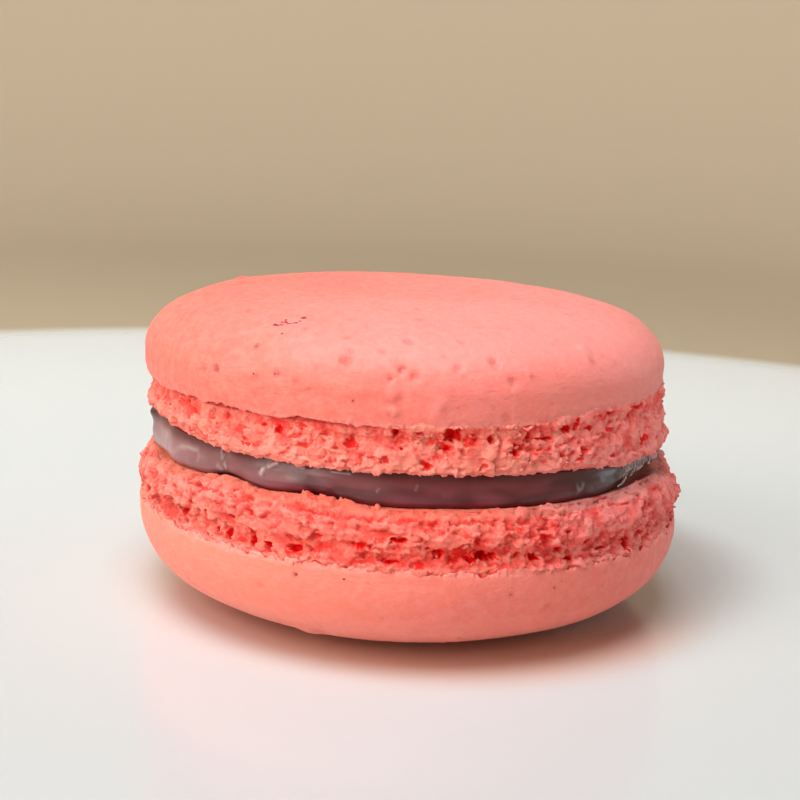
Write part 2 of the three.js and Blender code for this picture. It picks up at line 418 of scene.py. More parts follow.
# the smooth baked domes: their marks are dents and bumps of azimuth, radius, z, width, depth and stain,
# and their grains have azimuth, radius, z and size
topSkin = dict(
    spacing=0.19, lipSpacing=0.09, lipBand=0.9,
    marks=[
        (239.1, 20.5, 22.75, 0.26, -0.06, 0.9), (230.9, 21.44, 20.79, 0.3, 0.14, 1.0),
        (240.9, 21.46, 20.7, 0.3, 0.07, 0.5), (245.4, 21.36, 21.15, 0.28, 0.08, 0.5),
        (258.7, 20.63, 22.5, 0.42, 0.16, 0.45), (259.2, 20.05, 23.05, 0.32, 0.1, 0.3),
        (265.6, 19.82, 23.24, 0.32, 0.09, 0.25), (270.9, 18.9, 23.82, 0.42, 0.1, 0.3),
        (269.6, 20.87, 22.16, 0.34, 0.15, 0.5), (267.6, 21.24, 21.49, 0.28, 0.12, 0.35),
        (271.9, 21.16, 21.69, 0.34, 0.15, 0.4), (260.8, 21.49, 19.84, 0.2, 0.06, 0.5),
        (282.2, 18.73, 23.89, 0.32, 0.06, 0.25), (280.2, 20.8, 22.27, 0.32, 0.09, 0.3),
        (253.2, 21.07, 21.83, 0.24, 0.08, 0.25), (249.8, 21.45, 20.78, 0.26, 0.08, 0.35),
        (252.3, 21.48, 20.32, 0.2, 0.08, 0.4), (227.5, 21.47, 20.52, 0.32, 0.08, 0.3),
        (231.5, 21.1, 21.81, 0.4, 0.08, 0.2), (268.6, 21.5, 19.66, 0.32, 0.06, 0.12),
        (268.6, 21.5, 19.35, 0.36, -0.14, 0), (268.4, 21.47, 20.44, 0.4, -0.1, 0),
        (277.0, 21.5, 19.86, 0.45, -0.1, 0), (287.9, 20.44, 22.7, 0.4, 0.14, 0.3),
        (291.1, 21.4, 21.48, 0.4, 0.14, 0.3), (294.8, 21.3, 21.97, 0.45, -0.1, 0),
        (311.0, 19.95, 23.14, 0.6, -0.1, 0), (179.8, 14.0, 25.1, 0.8, -0.12, 0.3),
        (157, 15.95, 24.78, 0.52, -0.13, 0.2), (266, 21.45, 19.2, 2.0, 0, 0.06),
        (281, 21.45, 19.3, 2.2, 0, 0.08), (224.5, 14.0, 25.1, 0.7, -0.03, 0),
    ],
    grains=[
        (239.1, 18.4, 24.05, 0.16), (239.5, 18.45, 24.03, 0.12), (240.0, 18.42, 24.03, 0.11),
        (240.5, 18.3, 24.08, 0.1), (240.0, 17.95, 24.22, 0.11), (240.3, 17.6, 24.34, 0.12),
        (240.8, 17.85, 24.26, 0.11), (241.3, 17.95, 24.23, 0.1), (242.0, 18.06, 24.18, 0.1),
        (242.6, 18.0, 24.2, 0.08), (243.2, 17.85, 24.26, 0.09), (243.7, 17.8, 24.28, 0.12),
        (244.1, 17.5, 24.38, 0.1), (244.0, 16.95, 24.54, 0.2), (241.0, 18.3, 24.09, 0.07),
        (240.6, 18.05, 24.18, 0.06), (242.8, 19.24, 23.62, 0.1), (240.4, 21.4, 20.95, 0.08),
        (245.0, 21.36, 21.14, 0.07), (245.7, 21.36, 21.16, 0.06), (260.8, 21.49, 19.84, 0.06),
        (230.3, 14.7, 25.0, 0.07), (269.4, 20.9, 22.1, 0.05),
    ],
    sizes={
        "Lump size": 6.0, "Lump height": 0.05, "Dimple size": 1.0, "Dimple height": 0.045,
        "Streak height": 0.045, "Pit spacing": 1.6, "Pit size": 0.42, "Pit depth": 0.075,
        "Prick depth": 0.05, "Torn edge": 0.04,
    },
)
bottomSkin = dict(
    spacing=0.19, lipSpacing=0.09, lipBand=0.9,
    marks=[
        (249.7, 22.6, 7.1, 0.2, 0.08, 0.6), (298.3, 22.6, 6.56, 0.16, 0.05, 0.4),
        (289.3, 22.6, 6.39, 0.16, 0.05, 0.4), (249, 19.1, 1.7, 0.9, -0.12, 0), (252, 19.6, 2.0, 0.5, 0.1, 0),
        (244, 20.1, 2.4, 0.5, 0.07, 0), (256, 19.8, 2.1, 0.5, -0.06, 0), (276, 20.0, 2.2, 0.5, 0.06, 0),
        (281, 19.9, 2.1, 0.6, -0.06, 0), (296, 20.5, 2.8, 0.6, -0.07, 0), (303, 20.9, 3.1, 0.5, 0.06, 0),
        (310, 21.3, 3.7, 0.6, -0.06, 0),
    ],
    grains=[
        (249.7, 22.6, 7.1, 0.1), (258.9, 22.6, 7.3, 0.1), (289.3, 22.56, 6.39, 0.07),
        (298.3, 22.57, 6.56, 0.07), (299.8, 22.5, 7.0, 0.05), (289.4, 22.6, 6.92, 0.05),
    ],
    sizes={
        "Lump size": 5.0, "Lump height": 0.06, "Dimple size": 1.0, "Dimple height": 0.03,
        "Streak height": 0.04, "Pit spacing": 1.9, "Pit size": 0.36, "Pit depth": 0.05,
        "Prick depth": 0.04, "Torn edge": 0.07,
    },
)
fineColumns = 1440
plainColumns = 720
domeSamples = 6000
insideRise = 0.8    # from the lip to where a skin is closed inside


def skinNumbers(plan, skin, points, **numbers):
    pit, stain = np.zeros((2, len(points)))
    for azimuth, radius, z, width, depth, colour in skin["marks"]:
        angle = math.radians(azimuth)
        spot = np.array([plan["centreX"] + radius * math.cos(angle), radius * math.sin(angle), z])
        near = np.exp(-(np.sum((points - spot) ** 2, axis=1) / width ** 2) ** 1.5)
        pit += depth * near
        stain = np.maximum(stain, colour * near)
    return dict(pit=pit, stain=stain, **{name: value + 0 * pit for name, value in numbers.items()})


def columnCount(radius, spacing):
    # halved until the columns are about one spacing apart
    count = plainColumns
    while count > 45 and 2 * math.pi * radius / count < spacing * 0.75:
        count //= 2
    return count


def skinRings(plan, skin):
    turn = turnOf(plan)
    height = plan["poleZ"] - plan["widestZ"]
    angle = np.linspace(0, math.pi / 2, domeSamples)
    share = np.sin(angle) ** (2 / domeSquareness)
    rise = np.cos(angle).clip(0) ** (2 / domeRoundness)
    steps = np.hypot(np.diff(share * plan["radius"]), np.diff(rise * height))
    length = np.concatenate([[0], np.cumsum(steps)])
    even = np.linspace(0, length[-1], int(length[-1] / skin["spacing"]) + 1)[2:]
    rings = []

    def addRing(azimuth, radius, z, side, edge, inner=0):
        points, _ = ringOf(plan["centreX"], azimuth, radius, z)
        rings.append((points, skinNumbers(plan, skin, points, side=side, edge=edge, inner=inner)))

    for out, up in zip(np.interp(even, length, share), np.interp(even, length, rise)):
        azimuth = columnsOf(columnCount(out * plan["radius"], skin["spacing"]))
        z = plan["widestZ"] + height * up
        lump = wavesAt(skinWaves, azimuth, z) * out * out
        side = smoothStep(1 - up, 0.25, 0.9)
        addRing(azimuth, plan["radius"] * out + lump, z + turn * lump * up, side, 0)
    toLip = abs(plan["lipZ"] - plan["widestZ"])
    plainRows = max(0, int((toLip - skin["lipBand"]) / skin["spacing"]))
    bandStart = max(0.0, 1 - skin["lipBand"] / toLip)
    bandRows = int(toLip * (1 - bandStart) / skin["lipSpacing"])
    shares = [(bandStart * (i + 1) / (plainRows + 1), plainColumns) for i in range(plainRows)]
    shares += [(bandStart + (1 - bandStart) * i / bandRows, fineColumns) for i in range(bandRows + 1)]
    for share, count in shares:
        if share == 0:
            continue
        azimuth = columnsOf(count)
        smooth, ragged = lipLine(plan, azimuth)
        z = plan["widestZ"] + (smooth - plan["widestZ"]) * share + ragged * share ** 8
        curl = (plan["lipCurl"] + swellsAt(plan["lipCurls"], azimuth)) * max(0, (share - 0.5) / 0.5) ** 2
        edge = smoothStep(toLip * (1 - share), 0.55, 0.0)
        addRing(azimuth, plan["radius"] + wavesAt(skinWaves, azimuth, z) - curl, z, 1, edge)
    # round the torn edge and back inside
    azimuth = columnsOf(fineColumns)
    smooth, ragged = lipLine(plan, azimuth)
    outer = plan["radius"] + wavesAt(skinWaves, azimuth, plan["lipZ"]) - plan["lipCurl"]
    outer = outer - swellsAt(plan["lipCurls"], azimuth)
    for inset, lift in ((0.06, -0.05), (0.16, -0.06), (0.28, 0.02), (0.5, 0.2), (0.9, 0.4)):
        z = smooth + ragged + turn * lift
        addRing(azimuth, outer - inset * plan["lipThickness"] / 0.3, z, 1, 1, min(1, inset / 0.2))
    for radius, part in ((plan["radius"] - 2, 1), (plan["radius"] - 4, 2), (plan["radius"] / 2, 4)):
        addRing(columnsOf(plainColumns // part), radius, plan["lipZ"] + turn * insideRise, 1, 0, 1)
    return rings


def makeSkin(name, plan, skin):
    rings = skinRings(plan, skin)
    pole = (plan["centreX"], 0, plan["poleZ"])
    inside = (plan["centreX"], 0, plan["lipZ"] + turnOf(plan) * insideRise)
    if turnOf(plan) > 0:
        return ringMesh(name, pole, rings, inside)
    return ringMesh(name, inside, rings[::-1], pole)


def newSkinTree():
    tree, entry, place = newGeometryTree("bakedSkin", topSkin["sizes"])
    edge = attribute(tree, "edge")
    lumps = centred(place, entry["Lump size"], 1.0) * entry["Lump height"]
    dimples = centred(place, entry["Dimple size"], 3.0, 0.6) * entry["Dimple height"]
    streaks = centred(place * (1, 1, 0.16), 1.1) * entry["Streak height"] * attribute(tree, "side")
    pits, _ = spots(warped(place, 0.8, 0.5), entry["Pit spacing"], entry["Pit size"], 0.4)
    pricks, kind = spots(warped(place, 0.4, 0.3), 0.9, 0.28, 0.3)
    # a third of the small spots are raised
    sunk = pricks * (kind > 0.33)
    raised = pricks - sunk
    torn = facets(warped(place * (1, 1, 0.6), 0.5, 0.3), 0.34) * edge * entry["Torn edge"]
    push = lumps + dimples + streaks + torn + raised * 0.04
    dents = pits * entry["Pit depth"] + sunk * entry["Prick depth"] + attribute(tree, "pit") * 1.5
    # nothing stands out of the flat spot that it rests on
    resting = ramp(split(place)[2], 0.05, 0.6)
    moved = pushOut(entry["Geometry"], (push - dents) * resting)
    # pits and sunk pricks are kept for painted shade in the skin's colour
    closeGeometryTree(entry, keepNumber(moved, "dusk", pits * 0.6 + sunk * 0.5))
    return tree


# the feet are open, crumbly rings; holes are azimuth, z, half width, half height and depth, cracks are z,
# wander and how broken up, smooth patches are azimuth, z, width, height and amount
topFoot = dict(
    columns=1300, rowSpacing=0.072,
    holes=[
        (279.5, 17.68, 0.56, 0.38, 1.0), (268.8, 17.74, 0.27, 0.28, 0.8), (273.4, 17.72, 0.24, 0.17, 0.7),
        (278.7, 16.8, 0.19, 0.15, 0.6), (270.1, 16.64, 0.09, 0.09, 0.5), (267.2, 15.77, 0.32, 0.25, 0.35),
        (287.1, 17.32, 0.26, 0.24, 0.7), (291.8, 16.55, 0.24, 0.34, 0.8), (293.2, 16.74, 0.22, 0.2, 0.5),
        (295.1, 17.6, 0.14, 0.32, 0.6), (298.6, 17.25, 0.75, 0.14, 0.5), (283.1, 17.3, 0.5, 0.35, 0.3),
        (303.2, 17.84, 0.5, 0.22, 0.7), (306.2, 18.12, 0.2, 0.35, 0.7), (309.5, 17.65, 0.3, 0.18, 0.5),
        (315.6, 18.5, 0.5, 0.2, 0.5), (315.5, 17.28, 0.3, 0.22, 0.45), (328.2, 15.9, 0.5, 0.4, 0.5),
        (307.7, 16.1, 0.4, 0.3, 0.35), (316.3, 15.4, 0.4, 0.2, 0.4), (324, 18.4, 0.25, 0.3, 0.4),
        (260.4, 16.8, 0.4, 0.35, 0.45), (250.5, 17.6, 0.4, 0.2, 0.3), (245.3, 17.15, 0.22, 0.3, 0.6),
        (242, 17.3, 0.2, 0.12, 0.4), (236.6, 16.75, 0.5, 0.5, 0.2), (238.3, 15.7, 0.5, 0.17, 0.3),
        (220.6, 16.9, 0.7, 0.5, 0.18), (209.5, 17.3, 0.4, 0.3, 0.15), (228.5, 17.0, 0.2, 0.12, 0.4),
        (232.5, 17.4, 0.12, 0.2, 0.4),
    ],
    cracks=[(17.6, 0.35, 0.3)],
    smoothPatches=[
        (204, 17.2, 2.6, 1.5, 0.9), (222, 16.9, 2.0, 1.0, 0.75), (238, 16.6, 1.4, 0.8, 0.5),
        (271, 17.9, 3.2, 0.35, 0.8), (283, 17.3, 1.4, 0.6, 0.75), (338, 17.2, 2.6, 2.0, 0.8),
        (313, 17.9, 1.4, 0.5, 0.6), (300, 17.2, 1.4, 0.4, 0.6), (269.6, 16.0, 1.1, 0.5, 0.95),
        (321, 16.6, 2.2, 1.0, 0.7), (309, 16.8, 1.2, 0.5, 0.6),
    ],
    stretched=[(340, 16, 1.0), (204, 20, 0.7)],
    sizes={
        "Fold size": 2.2, "Fold height": 0.22, "Slab height": 0.12, "Flake height": 0.12,
        "Crumb height": 0.055, "Grain height": 0.035, "Stretch height": 0.3, "Bubble size": 0.95,
        "Bubble depth": 0.12, "Pore depth": 0.6, "Hole depth": 0.6, "Crack depth": 0.14, "Rim teeth": 0.045,
    },
)
bottomFoot = dict(
    columns=1150, rowSpacing=0.084,
    holes=[
        (220.6, 9.55, 0.42, 0.3, 1.6), (228.6, 10.15, 0.2, 0.14, 1.0), (235.4, 10.35, 0.24, 0.15, 1.2),
        (240.2, 9.18, 0.2, 0.5, 1.2), (234.4, 9.0, 0.3, 0.4, 0.8), (243.8, 8.85, 0.3, 0.28, 1.3),
        (249.1, 8.98, 0.45, 0.2, 1.2), (253.5, 10.2, 0.3, 0.3, 0.5), (224, 10.5, 0.2, 0.12, 0.9),
        (213, 9.9, 0.16, 0.12, 0.9), (231.5, 9.05, 0.22, 0.16, 0.9), (222.5, 8.8, 0.2, 0.12, 0.8),
        (261.4, 9.74, 0.5, 0.2, 0.6), (268.3, 10.36, 0.58, 0.18, 0.8), (266.9, 8.83, 0.58, 0.15, 0.7),
        (273.6, 9.82, 0.17, 0.12, 0.6), (275.5, 9.44, 0.37, 0.3, 0.9), (279.5, 9.45, 0.75, 0.6, 0.45),
        (282.4, 10.5, 0.36, 0.28, 0.4), (281.6, 9.0, 0.35, 0.2, 0.9), (283.4, 9.2, 0.42, 0.24, 1.1),
        (285.3, 9.08, 0.4, 0.16, 0.7), (290.2, 9.27, 0.17, 0.2, 0.5), (293.8, 8.95, 0.36, 0.26, 0.9),
        (299.5, 9.25, 0.22, 0.22, 0.8), (301.5, 8.6, 0.4, 0.14, 0.7), (305, 9.7, 0.4, 0.22, 0.9),
        (309, 8.95, 0.5, 0.16, 0.6), (313, 9.35, 0.4, 0.22, 0.5), (317, 8.7, 0.26, 0.35, 0.9),
        (321, 9.27, 0.22, 0.18, 0.8), (301, 10.6, 0.18, 0.1, 0.5), (218.6, 10.6, 0.2, 0.2, 0.4),
        (239.6, 11.0, 0.2, 0.2, 0.4),
    ],
    cracks=[(11.78, 0.25, -0.25), (9.9, 0.8, 0.3)],
    smoothPatches=[
        (329, 11.0, 5.0, 1.3, 0.9), (338, 9.9, 3.0, 1.2, 0.7), (262, 12, 3, 0.3, 0.6),
        (284, 12.05, 4, 0.25, 0.8), (208, 11.2, 2.8, 0.9, 0.8), (290, 10.3, 1.5, 0.5, 0.4),
        (226, 10.8, 1.8, 0.6, 0.5), (265.0, 10.8, 1.9, 0.8, 0.95), (269.6, 11.3, 1.0, 0.35, 0.9),
        (316, 11.4, 2.6, 0.7, 0.75), (304, 10.7, 1.2, 0.5, 0.6), (240, 10.6, 1.6, 0.5, 0.5),
    ],
    stretched=[(334, 20, 1.0), (202, 16, 0.8)],
    sizes={
        "Fold size": 2.0, "Fold height": 0.24, "Slab height": 0.16, "Flake height": 0.14,
        "Crumb height": 0.05, "Grain height": 0.035, "Stretch height": 0.45, "Bubble size": 1.0,
        "Bubble depth": 0.13, "Pore depth": 0.65, "Hole depth": 0.6, "Crack depth": 0.24, "Rim teeth": 0.03,
    },
)
patchRadius = 22
farAway = 9.0       # from every hole


def outlineRows(plan, spacing):
    # shares and offsets along the foot's outline, evenly spaced over its length
    shares, offsets = map(np.array, zip(*plan["footOutline"]))
    fineShares = np.linspace(shares[0], 1, 2000)
    fineOffsets = np.interp(fineShares, shares, offsets)
    height = abs(plan["seatZ"] - plan["lipZ"])
    steps = np.hypot(np.diff(fineShares) * height, np.diff(fineOffsets))
    length = np.concatenate([[0], np.cumsum(steps)])
    even = np.linspace(0, length[-1], int(length[-1] / spacing) + 1)
    rowShares = np.interp(even, length, fineShares)
    soft = np.convolve(np.pad(fineOffsets, 60, mode="edge"), np.ones(121) / 121, mode="valid")
    return list(zip(rowShares, np.interp(rowShares, fineShares, soft)))


def holesAt(plan, foot, azimuth, z):
    # how far from the middle of the nearest hole, 1 at its edge, and how deep that hole is
    tear, depth = np.full(len(azimuth), farAway), np.zeros(len(azimuth))
    for at, holeZ, halfWidth, halfHeight, holeDepth in foot["holes"]:
        across = azimuthGap(azimuth, at) * math.pi * plan["footRadius"] / 180 / halfWidth
        distance = np.hypot(across, (z - holeZ) / halfHeight)
        depth = np.where(distance < tear, holeDepth, depth)
        tear = np.minimum(tear, distance)
    return tear, depth


def cracksAt(plan, foot, azimuth, z):
    # how far from the nearest crack, in mm
    crack = np.full(len(azimuth), 1.0)
    for number, (crackZ, wander, broken) in enumerate(foot["cracks"]):
        seed = plan["seed"] + 10 * number
        line = crackZ + wander * raggedLine(azimuth, 44, seed) + 0.14 * raggedLine(azimuth, 260, seed + 1)
        line = line + 0.07 * raggedLine(azimuth, 700, seed + 2)
        gap = smoothStep(raggedLine(azimuth, 70, seed + 3), broken + 0.3, broken)
        crack = np.minimum(crack, np.abs(z - line) + gap)
    return crack


def footRings(plan, foot):
    azimuth = columnsOf(foot["columns"])
    smooth, _ = lipLine(plan, azimuth)
    rim = plan["seatZ"] + swellsAt(plan["rimSwells"], azimuth)
    radius = plan["footRadius"] + plan["footLean"] * np.cos(np.radians(azimuth))
    stretch = np.clip(swellsAt(foot["stretched"], azimuth), 0, 1)
    rings = []
    for share, offset in outlineRows(plan, foot["rowSpacing"]):
        z = smooth + (rim - smooth) * share
        tear, depth = holesAt(plan, foot, azimuth, z)
        blend = swellsAt(plan["lipBlend"], azimuth) * smoothStep(share, 0.35, 0.05)
        out = offset + blend + sum(bumpsAt(plan["footLumps"], azimuth, z, plan["footRadius"]))
        rings.append(ringOf(
            plan["centreX"], azimuth, radius + out, z, share=share, tear=tear, tearDepth=depth,
            crack=cracksAt(plan, foot, azimuth, z), stretch=stretch,
            calm=np.max(bumpsAt(foot["smoothPatches"], azimuth, z, patchRadius), axis=0)))
    # over the rim and along the seat
    rimRadius = radius + plan["footOutline"][-1][1]
    quiet = dict(share=1.1, tear=farAway, tearDepth=0.0, crack=1.0, stretch=0.0, calm=0.6)
    for inset, lift in ((0.12, -0.06), (0.3, -0.03), (0.6, 0.0), (0.9, 0.0)):
        blend = inset / 0.9
        z = (rim - turnOf(plan) * lift) * (1 - blend) + plan["seatZ"] * blend
        rings.append(ringOf(plan["centreX"], azimuth, rimRadius - inset, z, **quiet))
    for inset, part in ((2.6, 2), (5.6, 4)):
        azimuth = columnsOf(foot["columns"] // part)
        rings.append(ringOf(plan["centreX"], azimuth, plan["footRadius"] - inset, plan["seatZ"], **quiet))
    return rings


def makeFoot(name, plan, foot):
    rings = footRings(plan, foot)
    inside = (plan["centreX"], 0, float(np.mean(rings[0][0][:, 2])))
    seat = (plan["centreX"], 0, plan["seatZ"])
    if turnOf(plan) > 0:
        return ringMesh(name, inside, rings, seat)
    return ringMesh(name, seat, rings[::-1], inside)


def newFootTree():
    tree, entry, place = newGeometryTree("bakedCrumb", topFoot["sizes"])
    share = attribute(tree, "share")
    flatter = place * (1, 1, 1.25)
    folds = centred(warped(flatter, 1.8, 1.4), entry["Fold size"], 1.5) * entry["Fold height"]
    pulled = centred(warped(place * (1, 1, 0.3), 1.6, 1.2), 1.5, 1.2)
    folds = folds + pulled * entry["Stretch height"] * attribute(tree, "stretch")
    slabs = facets(warped(flatter, 1.2, 1.0), 1.7) * entry["Slab height"] * ramp(share, 0.0, 0.25)
    flakes = facets(warped(flatter, 0.7, 0.7), 0.8) * entry["Flake height"]
    crumbs = facets(warped(place, 0.35, 0.3), 0.36) * entry["Crumb height"]
    grain = centred(place, 0.2, 3.0, 0.65) * entry["Grain height"]

    # smooth folds and open crumb take turns round the foot
    patches = ramp(noise(place, 2.6), 0.4, 0.6, 0.4, 1.15)
    openness = patches * clamped(1.0 - attribute(tree, "calm"))

    # open bubbles in two sizes with thin walls between them, a few of them deep
    wide, kind = bowls(warped(flatter, 0.5, 0.55), entry["Bubble size"], 0.45)
    narrow, _ = bowls(warped(place, 0.25, 0.22), 0.42, 0.4)
    bubbles = (wide + narrow * 0.4) * entry["Bubble depth"] * openness
    wanted = ramp(share, 0.15, 0.95, 0.82, 0.94) - openness * 0.06
    pores = wide * (kind > wanted) * ramp(share, 0.95, 0.85) * entry["Pore depth"]
    dots, _ = spots(warped(place, 0.3, 0.15), 0.55, 0.1, 0.22)

    # the named holes and the cracks, with torn outlines
    torn = facets(flatter, 0.5) * 0.4 + centred(place, 0.3) * 0.2
    holes = ramp(attribute(tree, "tear") + torn, 1.15, 0.75) * attribute(tree, "tearDepth")
    cracks = ramp(attribute(tree, "crack") + torn * 0.25, 0.12, 0.02) * entry["Crack depth"]

    hollow = highest(pores, holes, cracks, dots * 0.25)
    folds = folds + slabs
    small = (flakes + crumbs + grain) * (openness * 0.8 + 0.2) - bubbles
    relief = (folds + small) * ramp(share, 1.08, 0.98, 0.2, 1.0)
    teeth = facets(place, 0.3) * ramp(share, 0.93, 1.0) * entry["Rim teeth"]
    moved = pushOut(entry["Geometry"], relief - hollow * entry["Hole depth"], teeth)
    moved = keepNumber(moved, "hollow", hollow)
    moved = keepNumber(moved, "relief", folds * 0.5 + small)
    # sides that face down, kept for painted shade in the crumb colour
    facing = split(add(tree, "GeometryNodeInputNormal"))[2]
    closeGeometryTree(entry, keepNumber(moved, "under", ramp(facing, -0.25, -0.8)))
    return tree


# painted light and shade: each dome's colour goes from one tone at -X to another at +X
skinFinish = dict(
    topSkin=((0.92, 0.172, 0.126, 1), (0.89, 0.238, 0.208, 1)),
    bottomSkin=((0.94, 0.238, 0.166, 1), (0.88, 0.192, 0.155, 1)),
    pale=(0.95, 0.35, 0.31, 1), dusk=(0.6, 0.085, 0.07, 1), stain=(0.3, 0.04, 0.045, 1),
    inside=(0.85, 0.02, 0.02, 1), scatter=0.3, scatterSize=0.0006,
)
topCrumb = dict(
    coral=(0.88, 0.115, 0.092, 1), peach=(0.94, 0.285, 0.225, 1), rim=(0.95, 0.3, 0.25, 1),
    shadedRimEnd=(0.9, 0.27, 0.23, 1), recessShade=(0.87, 0.058, 0.048, 1), red=(0.82, 0.004, 0.004, 1),
    speck=(0.45, 0.015, 0.015, 1), speckDepth=0.75, lipLine=0.8, rimPaleness=0.25, lipPaleness=0.05,
    scatter=0.5, scatterSize=0.0002, leftLightTint=(0.93, 0.91, 0.9, 1), rightLightTint=(1.04, 1.05, 1.2, 1),
)
# the lower foot's rim colours are darkened as painted shade, where the upper shell shades its ledge
bottomCrumb = dict(
    topCrumb, coral=(0.87, 0.082, 0.064, 1), peach=(0.94, 0.235, 0.185, 1), rim=(0.72, 0.148, 0.092, 1),
    shadedRimEnd=(0.58, 0.19, 0.145, 1), lipLine=0.0, rimPaleness=0.0, lipPaleness=0.45,
    leftLightTint=(0.85, 1.12, 1.13, 1), rightLightTint=(0.92, 1.12, 1.28, 1),
)
redTravelsFurthest = (1.0, 0.2, 0.13)


def makeSkinMaterial(name, finish):
    material, shader, place = newMaterial(name, {
        "Specular IOR Level": 0.3, "Subsurface Weight": finish["scatter"],
        "Subsurface Radius": redTravelsFurthest,
    })
    tree = material.node_tree
    x, y, z = split(place)
    edge = attribute(tree, "edge")
    mottle = ramp(noise(place, 0.8, 4.0, 0.7), 0.35, 0.7)
    torn = ramp(noise(place, 0.3, 3.0), 0.3, 0.6, 0.2, 1.0)
    specks, _ = spots(warped(place, 0.2, 0.1), 0.95, 0.11, 0.3)
    broken = ramp(noise(place, 0.35), 0.35, 0.6, 0.6, 1.1)
    # painted highlight on the front shoulder of the upper dome, and painted bounce light on the turn of the
    # lower one near the floor
    paintedHighlight = ramp(z, 21.4, 23.4) * ramp(y, -4.0, -12.0) * ramp(x, -17.0, -4.0)
    # painted light and shade from -X to +X, mixed with a random tone
    colour = colours(ramp(x * 0.03 + noise(place, 7.0) * 0.7, -0.15, 0.85), *finish[name])
    feed(shader["Base Color"], layered(colour, finish, (
        ("pale", mottle * 0.3), ("pale", paintedHighlight * 0.32), ("pale", ramp(z, 5.0, 1.5, 0.0, 0.6)),
        # painted shade in the pits, pricks and specks
        ("pale", edge * torn * 0.5), ("dusk", clamped(attribute(tree, "dusk") * 0.8)),
        ("dusk", specks * 0.45), ("stain", attribute(tree, "stain") * broken),
        # painted shade: deep red on the hidden inner side of the torn lip, so the gap under it reads as red
        # shade
        ("inside", attribute(tree, "inner")))))
    feed(shader["Roughness"], ramp(noise(place, 0.6, 3.0), 0.3, 0.7, 0.44, 0.58))
    feed(shader["Subsurface Scale"], ramp(edge, 0.9, 0.1, 0.0, finish["scatterSize"]))
    wrinkles = noise(place * (1, 1, 3.5), 1.0, 3.0, 0.6)
    bumpOf(shader, noise(place, 0.3, 4.0, 0.7) - specks + wrinkles * 1.2, 0.05)
    return material


def makeCrumbMaterial(name, finish):
    material, shader, place = newMaterial(name, {
        "Specular IOR Level": 0.1, "Subsurface Weight": finish["scatter"],
        "Subsurface Radius": redTravelsFurthest,
    })
    tree = material.node_tree
    x = split(place)[0]
    share, relief, hollow = (attribute(tree, label) for label in ("share", "relief", "hollow"))
    patches = noise(place, 1.6, 3.0, 0.6)
    fine = noise(place, 0.16, 3.0, 0.7)
    toRim = ramp(share, 0.4, 1.0, 0.0, finish["rimPaleness"])
    toLip = ramp(share, 0.12, 0.0, 0.0, finish["lipPaleness"])
    # coral in the hollows and peach on the crests by relief is painted shade; the patches, fine noise and
    # paler rim and lip are the crumb's own tone
    mixed = relief * 1.8 + patches * 0.9 + fine * 0.5 + (toRim + toLip)
    colour = colours(ramp(mixed, 0.3, 0.95), finish["coral"], finish["peach"])
    # painted shade: the rim colour darkens towards +X
    rim = colours(ramp(x, 1.0, 13.0), finish["rim"], finish["shadedRimEnd"])
    colour = colours(ramp(share, 0.84, 0.96, 0.0, 0.75), colour, rim)
    # painted shade: red in the creases, on sides that face down and in the shade under the lip, deep red in
    # the holes
    creases = ramp(relief + fine * 0.15, 0.02, -0.18)
    shady = ramp(patches, 0.52, 0.36) * ramp(share, 0.7, 0.35) * ramp(share, 0.0, 0.1)
    under = attribute(tree, "under") * ramp(share, 1.0, 0.9)
    paintedShade = highest(shady * 0.5, creases * 0.65, under * 0.7) * (attribute(tree, "calm") * -0.8 + 1.0)
    specks, _ = spots(warped(place, 0.3, 0.2), 0.8, 0.11, 0.4, 0.3)
    # painted shadow: a dark line just under the lip on the left side
    lipLine = ramp(share, 0.1, 0.02) * ramp(x, 1.0, -5.0) * finish["lipLine"]
    colour = layered(colour, finish, (
        ("recessShade", paintedShade), ("recessShade", ramp(hollow, 0.03, 0.25)), ("red", ramp(hollow, 0.25, 0.6)),
        ("speck", specks * finish["speckDepth"]), ("speck", lipLine)))
    # painted light and shade: a tint on the left and on the right for how the light falls there
    tint = colours(ramp(x, -8.0, -17.0), (1, 1, 1, 1), finish["leftLightTint"])
    tint = colours(ramp(x, 5.0, 14.0), tint, finish["rightLightTint"])
    feed(shader["Base Color"], colour * tint)
    # thin torn edges let no light through sideways
    feed(shader["Subsurface Scale"], ramp(share, 0.0, 0.15, 0.0, finish["scatterSize"]))
    feed(shader["Roughness"], ramp(noise(place, 0.5, 3.0), 0.3, 0.7, 0.55, 0.8))
    bumpOf(shader, noise(place, 0.14, 4.0, 0.65), 0.05)
    return material


crumbMaterials = {"top": makeCrumbMaterial("topCrumb", topCrumb),
                  "bottom": makeCrumbMaterial("bottomCrumb", bottomCrumb)}
skinTree = newSkinTree()
footTree = newFootTree()

shellPieces = {}
for name, plan, skin in (("topSkin", topShell, topSkin), ("bottomSkin", bottomShell, bottomSkin)):
    shellPieces[name] = makeSkin(name, plan, skin)
    applyTree(shellPieces[name], skinTree, skin["sizes"], plan["seed"], makeSkinMaterial(name, skinFinish))
print("skins baked")
for name, plan, foot in (("topFoot", topShell, topFoot), ("bottomFoot", bottomShell, bottomFoot)):
    shellPieces[name] = makeFoot(name, plan, foot)
    finish = crumbMaterials[name.removesuffix("Foot")]
    applyTree(shellPieces[name], footTree, foot["sizes"], plan["seed"], finish)
print("feet torn open")

